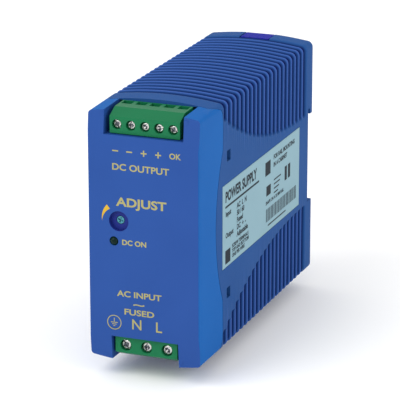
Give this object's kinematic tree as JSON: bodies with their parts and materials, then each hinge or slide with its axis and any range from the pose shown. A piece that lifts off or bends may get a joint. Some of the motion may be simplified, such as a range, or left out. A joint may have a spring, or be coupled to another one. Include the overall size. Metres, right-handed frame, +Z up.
{
  "type": "din rail power supply",
  "caption": "Ribbed plastic case for a 35 mm rail, with spring latch, screw terminals above and below its front, output trimmer and status lamp.",
  "frame": {"origin": "middle of the seat that rests on the 35 mm rail's face, level with the rail's middle", "axes": "+Z up, +Y from the front panel towards the rail and the wall, +X to the right of someone who faces the front panel"},
  "size_m": [0.0404, 0.1154, 0.0916],
  "materials": {
    "body": "slightly glossy moulded blue plastic",
    "cap": "glossy moulded blue plastic",
    "latch": "glossy saturated blue plastic",
    "label": "printed foil label, satin",
    "terminal": "green polyamide, semi-gloss",
    "steel": "zinc plated, bright",
    "brass": "tinned",
    "black": "moulded black",
    "white": "moulded off-white",
    "led": "tinted clear resin, unlit",
    "board": "glass-fibre board with green solder mask",
    "ferrite": "sintered ferrite",
    "copper": null,
    "tape": "polyester tape and moulded yellow case",
    "sleeve": "shrink sleeve over an aluminium can",
    "ceramic": "epoxy-coated ceramic",
    "aluminium": "plain sheet"
  },
  "bodies": {
    "case": {"body_shell": "body", "front_cap": "cap", "side_label": "label", "latch_spring": "steel", "output_terminal_block": "terminal", "input_terminal_block": "terminal", "trimmer_body": "white", "led_lamp": "led", "front_board": "board", "main_board": "board", "board_header": "black", "fuse": "black", "inrush_thermistor": "black", "surge_varistor": "ceramic", "x_capacitor": "tape", "common_mode_choke": "copper", "bridge_rectifier": "black", "bulk_capacitor": "sleeve", "transformer_core": "ferrite", "transformer_winding": "tape", "primary_heatsink": "aluminium", "switching_mosfet": "black", "mosfet_screw": "steel", "secondary_heatsink": "aluminium", "output_rectifier": "black", "rectifier_screw": "steel", "output_capacitor_1": "sleeve", "output_capacitor_2": "sleeve", "output_inductor": "copper", "optocoupler": "white", "controller_chip": "black", "y_capacitor": "ceramic", "output_contact_1": "brass", "output_contact_2": "brass", "output_contact_3": "brass", "output_contact_4": "brass", "output_contact_5": "brass", "input_contact_1": "brass", "input_contact_2": "brass", "input_contact_3": "brass"},
    "latch": {"rail_latch": "latch"},
    "trimmer": {"trimmer_rotor": "steel"},
    "output_screw_1": {"output_screw_1": "steel"},
    "output_clamp_1": {"output_clamp_1": "steel"},
    "output_screw_2": {"output_screw_2": "steel"},
    "output_clamp_2": {"output_clamp_2": "steel"},
    "output_screw_3": {"output_screw_3": "steel"},
    "output_clamp_3": {"output_clamp_3": "steel"},
    "output_screw_4": {"output_screw_4": "steel"},
    "output_clamp_4": {"output_clamp_4": "steel"},
    "output_screw_5": {"output_screw_5": "steel"},
    "output_clamp_5": {"output_clamp_5": "steel"},
    "input_screw_1": {"input_screw_1": "steel"},
    "input_clamp_1": {"input_clamp_1": "steel"},
    "input_screw_2": {"input_screw_2": "steel"},
    "input_clamp_2": {"input_clamp_2": "steel"},
    "input_screw_3": {"input_screw_3": "steel"},
    "input_clamp_3": {"input_clamp_3": "steel"}
  },
  "joints": [
    {"name": "latch_slide", "type": "slide", "parent": "case", "child": "latch", "axis": [0, 0, -1], "range_m": [0, 0.0035], "stiffness_N_per_m": 1500, "springref_m": -0.0015, "deforming": ["latch_spring"]},
    {"name": "trimmer_turn", "type": "hinge", "parent": "case", "child": "trimmer", "pos_m": [-0.0088, -0.1083, 0.0047], "axis": [0, 1, 0], "range_deg": [-135, 135]},
    {"name": "output_screw_1_turn", "type": "hinge", "parent": "case", "child": "output_screw_1", "pos_m": [-0.01, -0.1075, 0.0376], "axis": [0, 1, 0], "range_deg": [0, 1440]},
    {"name": "output_clamp_1_slide", "type": "slide", "parent": "case", "child": "output_clamp_1", "axis": [0, -1, 0], "range_m": [0, 0.002]},
    {"name": "output_screw_2_turn", "type": "hinge", "parent": "case", "child": "output_screw_2", "pos_m": [-0.005, -0.1075, 0.0376], "axis": [0, 1, 0], "range_deg": [0, 1440]},
    {"name": "output_clamp_2_slide", "type": "slide", "parent": "case", "child": "output_clamp_2", "axis": [0, -1, 0], "range_m": [0, 0.002]},
    {"name": "output_screw_3_turn", "type": "hinge", "parent": "case", "child": "output_screw_3", "pos_m": [0, -0.1075, 0.0376], "axis": [0, 1, 0], "range_deg": [0, 1440]},
    {"name": "output_clamp_3_slide", "type": "slide", "parent": "case", "child": "output_clamp_3", "axis": [0, -1, 0], "range_m": [0, 0.002]},
    {"name": "output_screw_4_turn", "type": "hinge", "parent": "case", "child": "output_screw_4", "pos_m": [0.005, -0.1075, 0.0376], "axis": [0, 1, 0], "range_deg": [0, 1440]},
    {"name": "output_clamp_4_slide", "type": "slide", "parent": "case", "child": "output_clamp_4", "axis": [0, -1, 0], "range_m": [0, 0.002]},
    {"name": "output_screw_5_turn", "type": "hinge", "parent": "case", "child": "output_screw_5", "pos_m": [0.01, -0.1075, 0.0376], "axis": [0, 1, 0], "range_deg": [0, 1440]},
    {"name": "output_clamp_5_slide", "type": "slide", "parent": "case", "child": "output_clamp_5", "axis": [0, -1, 0], "range_m": [0, 0.002]},
    {"name": "input_screw_1_turn", "type": "hinge", "parent": "case", "child": "input_screw_1", "pos_m": [-0.0075, -0.1075, -0.0398], "axis": [0, 1, 0], "range_deg": [0, 1440]},
    {"name": "input_clamp_1_slide", "type": "slide", "parent": "case", "child": "input_clamp_1", "axis": [0, -1, 0], "range_m": [0, 0.002]},
    {"name": "input_screw_2_turn", "type": "hinge", "parent": "case", "child": "input_screw_2", "pos_m": [0, -0.1075, -0.0398], "axis": [0, 1, 0], "range_deg": [0, 1440]},
    {"name": "input_clamp_2_slide", "type": "slide", "parent": "case", "child": "input_clamp_2", "axis": [0, -1, 0], "range_m": [0, 0.002]},
    {"name": "input_screw_3_turn", "type": "hinge", "parent": "case", "child": "input_screw_3", "pos_m": [0.0075, -0.1075, -0.0398], "axis": [0, 1, 0], "range_deg": [0, 1440]},
    {"name": "input_clamp_3_slide", "type": "slide", "parent": "case", "child": "input_clamp_3", "axis": [0, -1, 0], "range_m": [0, 0.002]}
  ],
  "couplings": [
    {"joint": "output_screw_1_turn", "follows": "output_clamp_1_slide", "rad_per_m": 12566},
    {"joint": "output_screw_2_turn", "follows": "output_clamp_2_slide", "rad_per_m": 12566},
    {"joint": "output_screw_3_turn", "follows": "output_clamp_3_slide", "rad_per_m": 12566},
    {"joint": "output_screw_4_turn", "follows": "output_clamp_4_slide", "rad_per_m": 12566},
    {"joint": "output_screw_5_turn", "follows": "output_clamp_5_slide", "rad_per_m": 12566},
    {"joint": "input_screw_1_turn", "follows": "input_clamp_1_slide", "rad_per_m": 12566},
    {"joint": "input_screw_2_turn", "follows": "input_clamp_2_slide", "rad_per_m": 12566},
    {"joint": "input_screw_3_turn", "follows": "input_clamp_3_slide", "rad_per_m": 12566}
  ]
}
